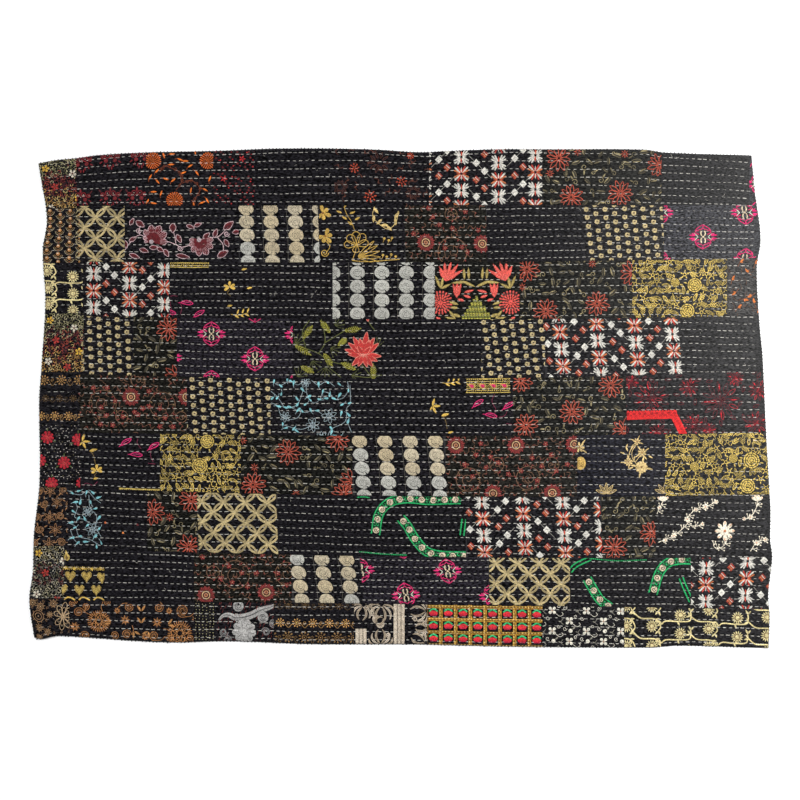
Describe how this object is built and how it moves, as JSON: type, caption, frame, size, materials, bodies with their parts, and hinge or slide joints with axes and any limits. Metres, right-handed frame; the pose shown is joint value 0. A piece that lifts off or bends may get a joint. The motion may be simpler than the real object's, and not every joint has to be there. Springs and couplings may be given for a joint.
{
  "type": "kantha quilt",
  "caption": "Flat rectangular patchwork quilt of layered cloth, held by rows of running stitch, with a slightly wavy overcast edge.",
  "frame": {"origin": "middle of the quilt's box, on the surface it lies on", "axes": "+X along the quilt's length, +Y towards its top edge, +Z out of its patchwork face"},
  "size_m": [2.32, 1.5606, 0.0057],
  "materials": {
    "quilt_cloth": "black silk patchwork with embroidered patches and cream running stitch"
  },
  "bodies": {
    "root": {"quilt": "quilt_cloth"}
  },
  "joints": []
}
